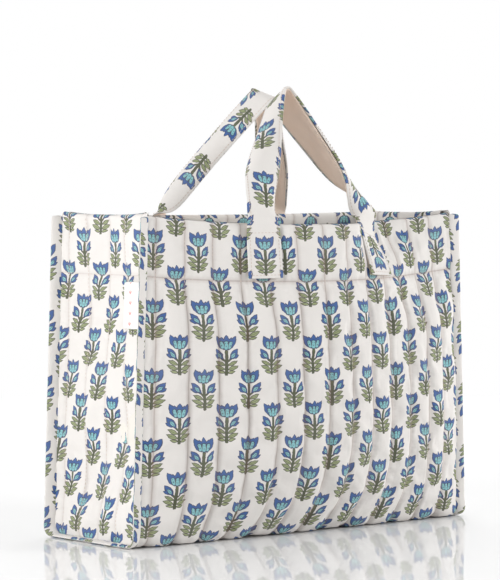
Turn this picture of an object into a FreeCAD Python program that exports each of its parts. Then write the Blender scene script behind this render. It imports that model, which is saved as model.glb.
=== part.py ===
import math
import os

import FreeCAD
import Part

# Quilted cotton box tote for knitting, with two sewn strap handles.
# Frame: millimetres, origin at the middle of the base on the ground, +X to the right along the
# bag's width, +Y from front to back, +Z up.

V = FreeCAD.Vector

# ---- driving dimensions -------------------------------------------------------------------
HEIGHT = 300.0            # ground to the folded top edge
HALF_BASE = 197.5         # middle to the side seam, at the ground
HALF_TOP = 187.5          # middle to the side seam, at the top edge
HALF_DEPTH = 65.0         # middle to the front or back seam of a gusset
BASE_ROLL = 10.0          # radius at which the front and back roll under
COVER = 0.9               # printed cotton with its interlining
WADDING = 5.2             # loose cotton wadding between the quilting lines
LINING = 0.9              # plain cotton lining
WALL = COVER + WADDING + LINING
HEM = 55.0                # depth of the top edge turned to the inside
THREAD = 0.5              # height that sewing thread stands proud
THREAD_WIDTH = 0.7
QUILT_STEP = 30.0         # distance between the quilting lines
QUILT_LINES_EACH_WAY = 6  # lines to each side of the middle one
SEAM_MARGIN = 4.0         # how far the hem's row stops short of a gusset's seams
EDGE_GAP = 3.0            # bare cloth between a row of stitches and an edge
CROSSING_GAP = 2.0        # break in the quilting thread where the hem's row crosses it
BINDING_WIDTH = 10.0      # bound seam that stands out along each gusset
BINDING_THICK = 4.0
BINDING_ROOT = 3.0        # how far the binding reaches back over the corner it closes
REACH = 300.0             # half size of the blocks that pieces are cut with, beyond every part
SPARE = 5.0               # how far cutting blocks run past the surfaces they cut
CLEARANCE = 0.15          # air left between soft pieces that only lie beside each other

STRAP_WIDTH = 35.0
STRAP_THICK = 1.5         # printed outer strap
WEBBING_THICK = 1.8       # twill webbing sewn to the strap's inner face
END_BOTTOM = 250.0        # lower end of the strap ends sewn to the bag
END_TOP = 302.0           # upper end of the sewn strap ends, just over the bag's top edge
TOP_STITCH = 294.0        # upper row of sewing across a strap end
LOOP_START = 306.0        # height at which the free handle loops begin
FLAT_SHARE = 0.12         # part of each leg that stays flat before it starts to twist
LEAN = math.radians(35)   # tilt of the strap's width across the top of a handle

LABEL_LOW, LABEL_HIGH = 197.0, 240.0
LABEL_WIDTH = 20.0
LABEL_THICK = 0.6
LABEL_ROOT = 4.2          # distance of the label's sewn edge from the corner, past the binding

# How far the front stands out from the seams, from the left seam to the right one, at the
# middle of the bag, at the hem and at the top edge.
STATIONS = [-1.0, -0.8, -0.6, -0.4, -0.2, 0.0, 0.2, 0.4, 0.6, 0.8, 1.0]
FRONT_MIDDLE = [0, 15, 25, 33, 38, 39, 36, 26, 17, 9, 0]
FRONT_HEM = [0, 14, 24, 32, 36, 38, 35, 28, 17, 8, 0]
FRONT_TOP = [0, 12, 20, 27, 31, 32, 26, 3, 0, 0, 0]
BACK_MIDDLE = [0, 14, 25, 33, 37.5, 39, 37.5, 33, 25, 14, 0]
BACK_HEM = [0, 7, 12, 16, 18, 19, 18, 16, 12, 7, 0]
BACK_TOP = [0, 1, 2, 2.5, 3, 3, 3, 2.5, 2, 1, 0]
# Share of the middle bulge that is present at each height under the hem.
RISE = [(0.0, 0.0), (10.0, 0.18), (30.0, 0.42), (70.0, 0.74), (120.0, 0.94), (160.0, 1.0)]
MIDDLE_TOP = 190.0        # height up to which the full bulge lasts
LEVELS = [30.0, 70.0, 120.0, 160.0, 190.0, 245.0, 300.0]

# Handle centre lines: foot, pull and crown of each leg, as (x, y) and a height.
FRONT_LEFT_X, FRONT_RIGHT_X = -72.0, 68.0
CROWN = {"front": V(-4, -28, 409), "back": V(4, 5, 405)}
LEG_PULL = {
    ("front", -1): V(-66, -74, 350),
    ("front", 1): V(40, -50, 360),
    ("back", -1): V(-44, 34, 360),
    ("back", 1): V(66, 50, 350),
}


def mix(a, b, t):
    return a + (b - a) * t


def table(pairs, x):
    """Straight-line reading of a table of (x, y) pairs."""
    if x <= pairs[0][0]:
        return pairs[0][1]
    for (x0, y0), (x1, y1) in zip(pairs, pairs[1:]):
        if x <= x1:
            return mix(y0, y1, (x - x0) / (x1 - x0))
    return pairs[-1][1]


def half_width(z):
    return mix(HALF_BASE, HALF_TOP, z / HEIGHT)


def bulge(side, station, z):
    """How far the front or back stands out at a station (-1..1) across the width."""
    if side == "front":
        middle, hem, top = FRONT_MIDDLE, FRONT_HEM, FRONT_TOP
    else:
        middle, hem, top = BACK_MIDDLE, BACK_HEM, BACK_TOP
    at_middle = table(list(zip(STATIONS, middle)), station)
    at_hem = table(list(zip(STATIONS, hem)), station)
    at_top = table(list(zip(STATIONS, top)), station)
    hem_z = HEIGHT - HEM
    if z <= MIDDLE_TOP:
        return at_middle * table(RISE, z)
    if z <= hem_z:
        return mix(at_middle, at_hem, (z - MIDDLE_TOP) / (hem_z - MIDDLE_TOP))
    return mix(at_hem, at_top, min(1.0, (z - hem_z) / HEM))


def ring(z, end_depth):
    """Closed outline of the bag at one height, `end_depth` being half its depth at the ends."""
    half = half_width(z)
    front = [V(s * half, -end_depth - bulge("front", s, z), z) for s in STATIONS]
    back = [V(s * half, end_depth + bulge("back", s, z), z) for s in reversed(STATIONS)]
    return Part.makePolygon(front + back + [front[0]])


def block(inset, top=HEIGHT):
    """Solid bag up to `top` whose surface lies `inset` inside the cover's outer surface."""
    roll = BASE_ROLL - inset
    rings = []
    for degrees in (0, 30, 60, 90):
        a = math.radians(degrees)
        z = inset + roll * (1 - math.cos(a))
        rings.append(ring(z, HALF_DEPTH - BASE_ROLL + roll * math.sin(a)))
    for z in LEVELS + [top] * (top > HEIGHT):
        rings.append(ring(z, HALF_DEPTH - inset))
    return Part.makeLoft(rings, True, True)


def slab(edges, low=-SPARE, high=HEIGHT + SPARE):
    """Slanted slab across the bag's whole depth, between two edges given as functions of z."""
    left, right = edges
    corners = [V(left(low), -REACH, low), V(right(low), -REACH, low),
               V(right(high), -REACH, high), V(left(high), -REACH, high)]
    face = Part.Face(Part.makePolygon(corners + [corners[0]]))
    return face.extrude(V(0, 2 * REACH, 0))


def end_slab(inner, outer, low=-SPARE, high=HEIGHT + SPARE):
    """Slab at the right end, between two distances inside the gusset's face."""
    return slab((lambda z: half_width(z) - outer, lambda z: half_width(z) - inner), low, high)


def between_ends(distance):
    """Block of everything further inside than `distance` from both gusset faces."""
    return slab((lambda z: distance - half_width(z), lambda z: half_width(z) - distance))


def band(low, high):
    """Block of everything between two heights."""
    return Part.makeBox(2 * REACH, 2 * REACH, high - low, V(-REACH, -REACH, low))


def left_of(shape):
    return shape.mirror(V(0, 0, 0), V(1, 0, 0))


OUTER = block(0.0)
UNDER_COVER = block(COVER)
UNDER_WADDING = block(COVER + WADDING)
INSIDE = block(WALL)
INSIDE_HEM = block(WALL + COVER)
THREAD_SKIN = block(-THREAD)
FOLD = COVER              # thickness of the cover where it folds over the top edge


def body_cover():
    """Front, base and back in one strip, with its top edges folded down inside."""
    outside = OUTER.cut(UNDER_COVER)
    cap = OUTER.cut(INSIDE_HEM).common(band(HEIGHT - FOLD, HEIGHT + 1))
    facing = INSIDE.cut(INSIDE_HEM).common(band(HEIGHT - HEM, HEIGHT + 1))
    return outside.fuse([cap, facing]).common(between_ends(WALL)).removeSplitter()


def body_layer(outer, inner):
    layer = outer.cut(inner).common(between_ends(WALL))
    return layer.common(band(-1, HEIGHT - FOLD)).removeSplitter()


def gusset_cover():
    outside = OUTER.common(end_slab(-SPARE, COVER))
    cap = OUTER.common(end_slab(-SPARE, WALL)).common(band(HEIGHT - FOLD, HEIGHT + 1))
    facing = INSIDE_HEM.common(end_slab(WALL, WALL + COVER, HEIGHT - HEM, HEIGHT + 1))
    return outside.fuse([cap, facing]).removeSplitter()


def gusset_layer(inner, outer):
    layer = OUTER.common(end_slab(inner, outer))
    return layer.common(band(-1, HEIGHT - FOLD)).removeSplitter()


def seam_binding():
    """Bound seam round three sides of the right gusset: two corners and the ground edge."""
    runs = []
    for side in (-1, 1):
        out = V(1, side, 0).normalize()
        across = V(-side, 1, 0).normalize() * (BINDING_THICK / 2)
        rings = []
        for z in (0.0, HEIGHT):
            corner = V(half_width(z), side * HALF_DEPTH, z)
            near, far = corner - out * BINDING_ROOT, corner + out * BINDING_WIDTH
            outline = [near + across, far + across, far - across, near - across]
            rings.append(Part.makePolygon(outline + [outline[0]]))
        runs.append(Part.makeLoft(rings, True, True))
    ground = Part.makeBox(
        BINDING_WIDTH + BINDING_ROOT, 2 * HALF_DEPTH, BINDING_THICK,
        V(HALF_BASE - BINDING_ROOT, -HALF_DEPTH, 0),
    )
    return runs[0].fuse([runs[1], ground]).cut(OUTER).removeSplitter()


def leg_side(side, x):
    """y of the cover's outer surface at the top edge, where a handle leg is sewn on."""
    sign = -1 if side == "front" else 1
    return sign * (HALF_DEPTH + bulge(side, x / HALF_TOP, HEIGHT))


def leg_x(side, leg):
    if side == "front":
        return FRONT_LEFT_X if leg < 0 else FRONT_RIGHT_X
    return -FRONT_RIGHT_X if leg < 0 else -FRONT_LEFT_X


def end_box(side, leg, low=END_BOTTOM, high=END_TOP, margin=0.0):
    x = leg_x(side, leg) - STRAP_WIDTH / 2 - margin
    y = -REACH if side == "front" else 0
    tall = high - low + 2 * margin
    return Part.makeBox(STRAP_WIDTH + 2 * margin, REACH, tall, V(x, y, low - margin))


def strap_end(side, leg, near, far):
    """One layer of a strap end that lies sewn on the outside of the bag."""
    return block(-far, END_TOP).cut(block(-near, END_TOP + 1)).common(end_box(side, leg))


def body_stitching(cutters):
    """Thread of the quilting lines that run up the front, the back and under the base."""
    skin = THREAD_SKIN.cut(OUTER).common(between_ends(WALL)).common(band(1.0, HEIGHT - EDGE_GAP))
    lines = []
    for i in range(-QUILT_LINES_EACH_WAY, QUILT_LINES_EACH_WAY + 1):
        start = V(i * QUILT_STEP, -REACH, -SPARE)
        lines.append(Part.makeBox(THREAD_WIDTH, 2 * REACH, HEIGHT + 2 * SPARE, start))
    thread = skin.common(Part.makeCompound(lines))
    hem_row = band(HEIGHT - HEM - CROSSING_GAP, HEIGHT - HEM + CROSSING_GAP)
    return thread.cut(Part.makeCompound(cutters + [hem_row]))


def hem_stitching(cutters):
    """Thread of the hem's sewing line, on the front, the back and both gussets."""
    line = band(HEIGHT - HEM, HEIGHT - HEM + THREAD_WIDTH)
    body = THREAD_SKIN.cut(OUTER).common(between_ends(WALL)).common(line)
    half = half_width(HEIGHT - HEM)
    start = V(half, SEAM_MARGIN - HALF_DEPTH, HEIGHT - HEM)
    end = Part.makeBox(THREAD, 2 * (HALF_DEPTH - SEAM_MARGIN), THREAD_WIDTH, start)
    return Part.makeCompound([body.cut(Part.makeCompound(cutters)), end, left_of(end)])


def end_stitching(side, leg):
    """Two rows of thread across a sewn strap end."""
    outer = STRAP_THICK + WEBBING_THICK
    skin = block(-outer - THREAD).cut(block(-outer, HEIGHT + 1))
    x = leg_x(side, leg) - STRAP_WIDTH / 2 + EDGE_GAP
    y = -REACH if side == "front" else 0
    rows = []
    for z in (END_BOTTOM + EDGE_GAP, TOP_STITCH):
        rows.append(Part.makeBox(STRAP_WIDTH - 2 * EDGE_GAP, REACH, THREAD_WIDTH, V(x, y, z)))
    return skin.common(Part.makeCompound(rows))


def leg_sections(side, leg, steps=10):
    """(centre, width, normal) down one leg, from the foot to the crown."""
    front = side == "front"
    facing = -1 if front else 1
    stack = STRAP_THICK + WEBBING_THICK
    x = leg_x(side, leg)
    foot = V(x, leg_side(side, x) + facing * stack / 2, LOOP_START)
    crown, pull = CROWN[side], LEG_PULL[(side, leg)]
    flat = V(-leg, 0, 0)
    crossed = V(0, facing * math.cos(LEAN), math.sin(LEAN))
    sections = []
    for i in range(steps + 1):
        t = i / steps
        centre = foot * (1 - t) ** 2 + pull * (2 * t * (1 - t)) + crown * t ** 2
        along = (pull - foot) * (1 - t) + (crown - pull) * t
        along = mix(V(0, 0, 1), along.normalize(), min(1.0, 3 * t))
        if i == steps:
            along = V(-leg, 0, 0)
        along.normalize()
        turn = 1 - (1 - max(0.0, (t - FLAT_SHARE) / (1 - FLAT_SHARE))) ** 1.6
        width = mix(flat, crossed, turn)
        width = (width - along * width.dot(along)).normalize()
        normal = width.cross(along).normalize() * (-leg if front else leg)
        sections.append((centre, width, normal))
    return sections


def loop_layer(side, near, far):
    """One layer of a free handle loop, between two offsets along the strap's normal."""
    left = leg_sections(side, -1)
    right = leg_sections(side, 1)
    # Both legs reach the crown with the same width vector, so one list runs up and down again.
    sections = left + [s for s in reversed(right[:-1])]
    rings = []
    for centre, width, normal in sections:
        half = width * (STRAP_WIDTH / 2)
        outline = [
            centre - half + normal * near,
            centre + half + normal * near,
            centre + half + normal * far,
            centre - half + normal * far,
        ]
        rings.append(Part.makePolygon(outline + [outline[0]]))
    return Part.makeLoft(rings, True, True)


def side_label():
    """Woven label caught in the left front seam, lying on the gusset."""
    rings = []
    for z in (LABEL_LOW, LABEL_HIGH):
        x = -half_width(z) - CLEARANCE
        y = -HALF_DEPTH + LABEL_ROOT
        outline = [
            V(x, y, z), V(x - LABEL_THICK, y, z),
            V(x - LABEL_THICK, y + LABEL_WIDTH, z), V(x, y + LABEL_WIDTH, z),
        ]
        rings.append(Part.makePolygon(outline + [outline[0]]))
    return Part.makeLoft(rings, True, True)


def all_pieces():
    pieces = {
        "body_cover": body_cover(),
        "body_wadding": body_layer(UNDER_COVER, UNDER_WADDING),
        "body_lining": body_layer(UNDER_WADDING, INSIDE),
    }
    layers = {
        "gusset_cover": gusset_cover(),
        "gusset_wadding": gusset_layer(COVER, COVER + WADDING),
        "gusset_lining": gusset_layer(COVER + WADDING, WALL),
        "seam_binding": seam_binding(),
    }
    for name, shape in layers.items():
        pieces["right_" + name] = shape
        pieces["left_" + name] = left_of(shape)
    ends = []
    rows = []
    for side in ("front", "back"):
        pieces[side + "_handle_webbing"] = loop_layer(
            side, -(STRAP_THICK + WEBBING_THICK) / 2, (WEBBING_THICK - STRAP_THICK) / 2
        )
        pieces[side + "_handle_strap"] = loop_layer(
            side, (WEBBING_THICK - STRAP_THICK) / 2, (STRAP_THICK + WEBBING_THICK) / 2
        )
        for leg, word in ((-1, "left"), (1, "right")):
            name = side + "_" + word
            pieces[name + "_webbing_end"] = strap_end(side, leg, 0.0, WEBBING_THICK)
            pieces[name + "_strap_end"] = strap_end(
                side, leg, WEBBING_THICK, WEBBING_THICK + STRAP_THICK
            )
            rows.append(end_stitching(side, leg))
            ends.append(end_box(side, leg, margin=2 * CLEARANCE))
    pieces["handle_end_stitching"] = Part.makeCompound(rows)
    pieces["quilting_thread"] = body_stitching(ends)
    pieces["hem_stitching"] = hem_stitching(ends)
    pieces["side_label"] = side_label()
    return pieces


os.makedirs("parts", exist_ok=True)
for name, shape in all_pieces().items():
    solids = shape.Solids
    closed = all(s.isClosed() and s.isValid() for s in solids)
    result = solids[0] if len(solids) == 1 else Part.makeCompound(solids)
    result.exportStep("parts/" + name + ".step")
    box = result.BoundBox
    print(name, len(solids), closed, round(result.Volume / 1000, 2), "cm3", "faces", len(result.Faces),
          [round(v, 1) for v in (box.XMin, box.XMax, box.YMin, box.YMax, box.ZMin, box.ZMax)])
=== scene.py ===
"""Looks of a quilted block-print cotton tote for knitting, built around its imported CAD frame.

Shapes are worked out in millimetres and turned into metres where a mesh is made. +X runs along the
bag's width, +Y from the front panel to the back panel and +Z up.
"""
import math

import bpy
import numpy as np
from mathutils import Matrix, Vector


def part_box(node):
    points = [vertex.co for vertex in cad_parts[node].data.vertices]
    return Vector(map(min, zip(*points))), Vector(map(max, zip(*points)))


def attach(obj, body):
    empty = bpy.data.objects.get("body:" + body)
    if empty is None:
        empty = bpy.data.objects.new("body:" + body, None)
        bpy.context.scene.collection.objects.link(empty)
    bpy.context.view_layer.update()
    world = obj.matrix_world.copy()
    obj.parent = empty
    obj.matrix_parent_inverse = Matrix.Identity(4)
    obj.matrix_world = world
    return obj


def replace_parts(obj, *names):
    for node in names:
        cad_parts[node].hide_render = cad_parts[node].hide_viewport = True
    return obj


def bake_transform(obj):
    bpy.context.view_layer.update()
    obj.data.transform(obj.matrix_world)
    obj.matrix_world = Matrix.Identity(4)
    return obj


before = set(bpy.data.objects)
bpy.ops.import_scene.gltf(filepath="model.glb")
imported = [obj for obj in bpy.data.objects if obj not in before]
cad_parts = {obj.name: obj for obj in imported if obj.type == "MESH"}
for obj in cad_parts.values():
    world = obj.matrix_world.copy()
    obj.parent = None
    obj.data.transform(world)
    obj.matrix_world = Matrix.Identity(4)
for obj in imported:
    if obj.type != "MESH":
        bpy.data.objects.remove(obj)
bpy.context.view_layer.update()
MM = 0.001


def cad_box(node):
    """Lowest and highest corner of a CAD node, in millimetres."""
    low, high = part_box(node)
    return np.array(low) / MM, np.array(high) / MM


# ---- driving dimensions, in millimetres ---------------------------------------------------
HEIGHT = cad_box("body_cover")[1][2]
HALF_BASE = -cad_box("left_gusset_cover")[0][0]
HALF_TOP = HALF_BASE - 10.0
HALF_DEPTH = 65.0
BASE_ROLL = 10.0
WALL = 7.0                 # cover, wadding and lining together
FOLD = WALL / 2            # radius of the folded top edge
HEM_Z = cad_box("hem_stitching")[0][2]
HEM = HEIGHT - HEM_Z
QUILT_STEP = 30.0
FIRST_LINE = -190.0        # leftmost quilting line, from the middle of the panel
FLAT_HALF = 200.0          # half the panel's flat width, seam to seam
GUSSET_HALF = 70.0         # half a gusset's flat width
LINE_DEPTH = 4.4           # how deep the quilting lines sit under the tops of the channels
ROW = 4.0                  # mesh spacing up the panels
COLUMN = QUILT_STEP / 9    # mesh spacing across them

STRAP_WIDTH = 35.0
STRAP_THICK = 2.0
WEBBING_THICK = 1.5
WEBBING_WIDTH = 32.0
END_LOW = 248.0            # lower end of the sewn strap ends
# Tilt of a strap's width across the crown of its handle.
LEAN = {"front": math.radians(35), "back": math.radians(14)}
LEFT_LEG_X = -72.0
RIGHT_LEG_X = 68.0
LAYERS = STRAP_THICK + WEBBING_THICK
FREE_FROM = 300.0          # height from which a handle bends freely
HINGE_FROM = 297.0         # heights between which a strap passes from the bag to its handle
HINGE_TO = 318.0
# Share of each leg that stays flat before it twists.
FLAT_SHARE = {("front", -1): 0.12, ("front", 1): 0.04, ("back", -1): -0.06, ("back", 1): 0.0}
# How early each leg twists across on its way up; 1 is even.
TURN_POWER = {("front", -1): 1.3, ("front", 1): 3.8, ("back", -1): 14.0, ("back", 1): 1.6}
CUP = {"front": 1.1, "back": 1.0}    # bend across a strap in the middle of a leg, in radians
# Highest point of each handle's middle line.
CROWN = {"front": (-3.0, -28.0, 412.0), "back": (8.0, 2.0, 415.0)}
# Point that draws each leg's curve out between its foot and the crown.
LEG_PULL = {
    ("front", -1): (-62.0, -70.0, 356.0),
    ("front", 1): (34.0, -52.0, 360.0),
    ("back", -1): (-34.0, 38.0, 362.0),
    ("back", 1): (51.0, 42.0, 384.0),
}

# Outward bulge of each panel over its flat width, from the left seam (-1) to the right one (1).
ACROSS = [-1, -0.95, -0.8, -0.65, -0.5, -0.35, -0.2, -0.05, 0.1, 0.25, 0.4, 0.55, 0.7, 0.85, 1]
MIDDLE = (ACROSS, [0, 5, 16, 23, 29.5, 37, 41, 43, 44, 39, 33, 28.5, 24, 15, 0])
AT_HEM = (ACROSS, [0, 3, 9, 14, 20, 28.5, 35, 40, 40.5, 34, 27, 18, 10, 4, 0])
AT_TOP = ([-1, -0.8, -0.65, -0.5, -0.375, -0.2, -0.05, 0.1, 0.18, 0.25, 0.33, 0.4, 0.5, 0.7, 1],
          [0, 8, 13, 18, 23.5, 31, 36, 37, 34, 26, 11, 2, -2, -1, 0])
BACK_MIDDLE = ([-1, -0.6, -0.2, 0, 0.2, 0.6, 1], [0, 25, 37, 38, 37, 25, 0])
BACK_HEM = ([-1, -0.6, 0, 0.6, 1], [0, 12, 19, 12, 0])
BACK_TOP = ([-1, -0.6, 0, 0.6, 1], [0, 2, 3, 2, 0])
FULL_BULGE_LOW = 160.0     # heights between which a panel has its whole middle bulge
FULL_BULGE_HIGH = 190.0
LOW_BULGE_POWER = 3.0      # how soon a panel stands out above the ground; 1 is even
SAG = {"front": 9.0, "back": 2.0}      # drop of the middle of a panel's top edge
DRIFT = {"front": 6.0, "back": 0.0}    # sideways drift of the cloth low on a panel
DRIFT_TOP = 45.0           # height of the most drift
SEAM_REACH = 9.0           # distance over which the quilting fades out beside a seam
TOP_REACH = 8.0            # distance over which it fades out under the top edge
GUSSET_HOLLOW = 7.0        # how far the middle of a gusset is drawn in
GUSSET_PRINT = 50.0        # shift of a gusset's cloth that puts its quilting lines in the print's
GUSSET_LINES = (-60, -30, 0, 30, 60)
BASE_SINK = 2.6            # how far the base's quilting lines lie above the ground
GROUND = 0.3               # lowest point of the cloth
FACING_PAST_HEM = 1.5      # how far a facing reaches below the hem's sewing
LINING_GAP = WALL - 0.6    # depth of the lining under the outer surface
# Length, gap and thread radius of the stitches.
QUILT_STITCH = (2.6, 1.0, 0.28)
HEM_STITCH = (2.8, 1.0, 0.3)
STRAP_STITCH = (2.6, 0.7, 0.28)
SIDE_WORD = {-1: "left", 1: "right"}


# ---- small tools --------------------------------------------------------------------------
def smooth(x):
    """0 below 0, 1 above 1 and an even S between them."""
    x = np.clip(x, 0.0, 1.0)
    return x * x * (3 - 2 * x)


def rounded(points, width=0.035):
    """A function through (xs, ys) with its corners rounded off."""
    fine = np.linspace(-1.2, 1.2, 481)
    values = np.interp(fine, *points)
    kernel = np.exp(-0.5 * (np.arange(-20, 21) * (fine[1] - fine[0]) / width) ** 2)
    soft = np.convolve(np.pad(values, 20, mode="edge"), kernel / kernel.sum(), mode="valid")
    return lambda x: np.interp(x, fine, soft)


def ripple(a, b, seed, size):
    """Smooth waves over a sheet, between about -1 and 1, `size` millimetres apart."""
    rng = np.random.default_rng(seed)
    total = np.zeros(np.broadcast(a, b).shape)
    for _ in range(7):
        angle = rng.uniform(0, 2 * math.pi)
        pitch = size * rng.uniform(0.6, 1.7)
        phase = rng.uniform(0, 2 * math.pi)
        total += np.sin(2 * math.pi * (a * math.cos(angle) + b * math.sin(angle)) / pitch + phase)
    return total / 3.2


def unit(v):
    """The same vectors with a length of 1."""
    return v / np.maximum(np.linalg.norm(v, axis=-1, keepdims=True), 1e-9)


def grid_normals(p):
    """Normals of a grid of points (rows, columns, 3), along columns x rows."""
    across = np.gradient(p, axis=1)
    down = np.gradient(p, axis=0)
    return unit(np.cross(down, across))


def make_mesh(name, verts, faces, uvs, material, body):
    """Mesh object from points in millimetres, faces and one (u, v) per face corner."""
    mesh = bpy.data.meshes.new(name)
    mesh.from_pydata([tuple(v) for v in np.asarray(verts) * MM], [], faces)
    layer = mesh.uv_layers.new(name="cloth")
    layer.data.foreach_set("uv", (np.asarray(uvs, float) * MM).ravel())
    mesh.polygons.foreach_set("use_smooth", [True] * len(mesh.polygons))
    mesh.materials.append(material)
    mesh.update()
    piece = bpy.data.objects.new(name, mesh)
    bpy.context.scene.collection.objects.link(piece)
    if body:
        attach(piece, body)
    return piece


def run_along(points):
    """Distance of each point from the first one, along the line through them."""
    step = np.linalg.norm(np.diff(points, axis=0), axis=1)
    return np.concatenate([[0], np.cumsum(step)])


def grid_faces(rows, columns):
    """Four-sided faces of a grid of points."""
    faces = []
    for r in range(rows - 1):
        for c in range(columns - 1):
            here = r * columns + c
            below = here + columns
            faces.append((here, below, below + 1, here + 1))
    return faces


def grid_piece(name, p, uv, material, body, flip=False):
    """Open sheet from a grid of points; uv has one (u, v) per grid point, in millimetres."""
    rows, columns = p.shape[:2]
    faces = grid_faces(rows, columns)
    if flip:
        faces = [f[::-1] for f in faces]
    flat = uv.reshape(-1, 2)
    return make_mesh(name, p.reshape(-1, 3), faces, [flat[i] for f in faces for i in f],
                     material, body)


def tube_piece(name, rings, uv, material, body=None):
    """Closed strip from rings of points (sections, points, 3), with capped ends."""
    sections, count = rings.shape[:2]
    verts = rings.reshape(-1, 3)
    faces, uvs = [], []
    for r in range(sections - 1):
        for c in range(count):
            d = (c + 1) % count
            corners = ((r, c), (r, d), (r + 1, d), (r + 1, c))
            faces.append(tuple(i * count + k for i, k in corners))
            uvs += [(uv[i, k][0], uv[i, c][1]) for i, k in corners]
    for r, order in ((0, range(count - 1, -1, -1)), (sections - 1, range(count))):
        faces.append(tuple(r * count + c for c in order))
        uvs += [tuple(uv[r, c]) for c in order]
    return make_mesh(name, verts, faces, uvs, material, body)


def subdivide(piece):
    """Applies a subdivision surface, so that the piece keeps a smooth real mesh."""
    modifier = piece.modifiers.new("smooth", "SUBSURF")
    modifier.levels = 1
    modifier.render_levels = 1
    graph = bpy.context.evaluated_depsgraph_get()
    mesh = bpy.data.meshes.new_from_object(piece.evaluated_get(graph))
    piece.modifiers.clear()
    old = piece.data
    piece.data = mesh
    bpy.data.meshes.remove(old)
    piece.data.name = piece.name


def blow_up(piece, held, pressure, spare, most):
    """Cloth simulation: the sheet has `spare` extra length, swells between its held points and
    wrinkles there. No point moves further than `most` millimetres."""
    steps = 16
    mesh = piece.data
    start = np.empty(len(mesh.vertices) * 3)
    mesh.vertices.foreach_get("co", start)
    start = start.reshape(-1, 3)
    group = piece.vertex_groups.new(name="held")
    for i in np.flatnonzero(held > 0):
        group.add([int(i)], float(held[i]), "REPLACE")
    cloth = piece.modifiers.new("cloth", "CLOTH")
    settings = cloth.settings
    settings.quality = 6
    settings.mass = 0.2
    settings.tension_stiffness = 12
    settings.compression_stiffness = 12
    settings.shear_stiffness = 3
    settings.bending_stiffness = 0.05
    settings.air_damping = 2
    settings.vertex_group_mass = "held"
    settings.pin_stiffness = 1
    settings.use_pressure = True
    settings.uniform_pressure_force = pressure
    settings.shrink_min = -spare
    settings.effector_weights.gravity = 0
    cloth.collision_settings.use_collision = False
    cloth.point_cache.frame_start = 1
    cloth.point_cache.frame_end = steps
    scene = bpy.context.scene
    for step in range(1, steps + 1):
        scene.frame_set(step)
    graph = bpy.context.evaluated_depsgraph_get()
    moved = np.empty(len(mesh.vertices) * 3)
    piece.evaluated_get(graph).data.vertices.foreach_get("co", moved)
    moved = moved.reshape(-1, 3)
    piece.modifiers.clear()
    piece.vertex_groups.clear()
    scene.frame_set(1)
    shift = moved - start
    far = np.linalg.norm(shift, axis=1, keepdims=True)
    shift *= np.minimum(1.0, most * MM / np.maximum(far, 1e-9))
    mesh.vertices.foreach_set("co", (start + shift).ravel())
    mesh.update()
    return (start + shift) / MM


# ---- materials ----------------------------------------------------------------------------
class Graph:
    """Short calls for building a material's nodes. Inputs are sockets or plain values."""

    def __init__(self, name):
        self.material = bpy.data.materials.new(name)
        self.material.use_nodes = True
        self.tree = self.material.node_tree
        self.tree.nodes.clear()
        self.output = self.tree.nodes.new("ShaderNodeOutputMaterial")

    def node(self, kind, inputs=None, **settings):
        node = self.tree.nodes.new(kind)
        for key, value in settings.items():
            setattr(node, key, value)
        for key, value in (inputs or {}).items():
            socket = node.inputs[key]
            if isinstance(value, bpy.types.NodeSocket):
                self.tree.links.new(value, socket)
            else:
                socket.default_value = value
        return node

    def math(self, operation, *values):
        inputs = dict(enumerate(values))
        return self.node("ShaderNodeMath", inputs, operation=operation).outputs[0]

    def clamp01(self, value):
        node = self.node("ShaderNodeMath", {0: value, 1: 0.0}, operation="ADD", use_clamp=True)
        return node.outputs[0]

    def inside(self, distance, blur):
        """1 inside a shape, 0 outside it, with a soft edge."""
        return self.clamp01(self.math("MULTIPLY_ADD", distance, -1.0 / blur, 0.5))

    def mix(self, share, a, b):
        """Colour a where share is 0 and b where it is 1."""
        inputs = {0: share, 6: a, 7: b}
        return self.node("ShaderNodeMix", inputs, data_type="RGBA").outputs[2]

    def blend(self, share, a, b):
        """a + (b - a) * share, for plain numbers."""
        return self.math("MULTIPLY_ADD", self.math("SUBTRACT", b, a), share, a)

    def noise(self, where, scale, detail=2.0, roughness=0.5):
        inputs = {"Vector": where, "Scale": scale, "Detail": detail, "Roughness": roughness}
        return self.node("ShaderNodeTexNoise", inputs).outputs["Fac"]

    def cloth_xy(self):
        """Place on the cloth in millimetres, from the flat pattern's map."""
        flat = self.node("ShaderNodeUVMap", uv_map="cloth").outputs[0]
        scaled = self.node("ShaderNodeVectorMath", {0: flat, 1: (1000.0, 1000.0, 0.0)},
                           operation="MULTIPLY").outputs[0]
        parts = self.node("ShaderNodeSeparateXYZ", {0: scaled})
        return scaled, parts.outputs[0], parts.outputs[1]

    def finish(self, colour, height, depth, roughness, sheen):
        bump = self.node("ShaderNodeBump", {"Height": height, "Strength": 1.0,
                                            "Distance": depth * MM})
        surface = self.node("ShaderNodeBsdfPrincipled", {
            "Base Color": colour, "Roughness": roughness, "Sheen Weight": sheen,
            "Sheen Roughness": 0.5, "Specular IOR Level": 0.12, "Normal": bump.outputs[0]})
        self.tree.links.new(surface.outputs[0], self.output.inputs[0])
        return self.material


def srgb(r, g, b):
    """Scene-linear colour of an 8-bit display colour."""
    def linear(c):
        c /= 255
        return c / 12.92 if c <= 0.04045 else ((c + 0.055) / 1.055) ** 2.4
    return linear(r), linear(g), linear(b), 1.0


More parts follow.
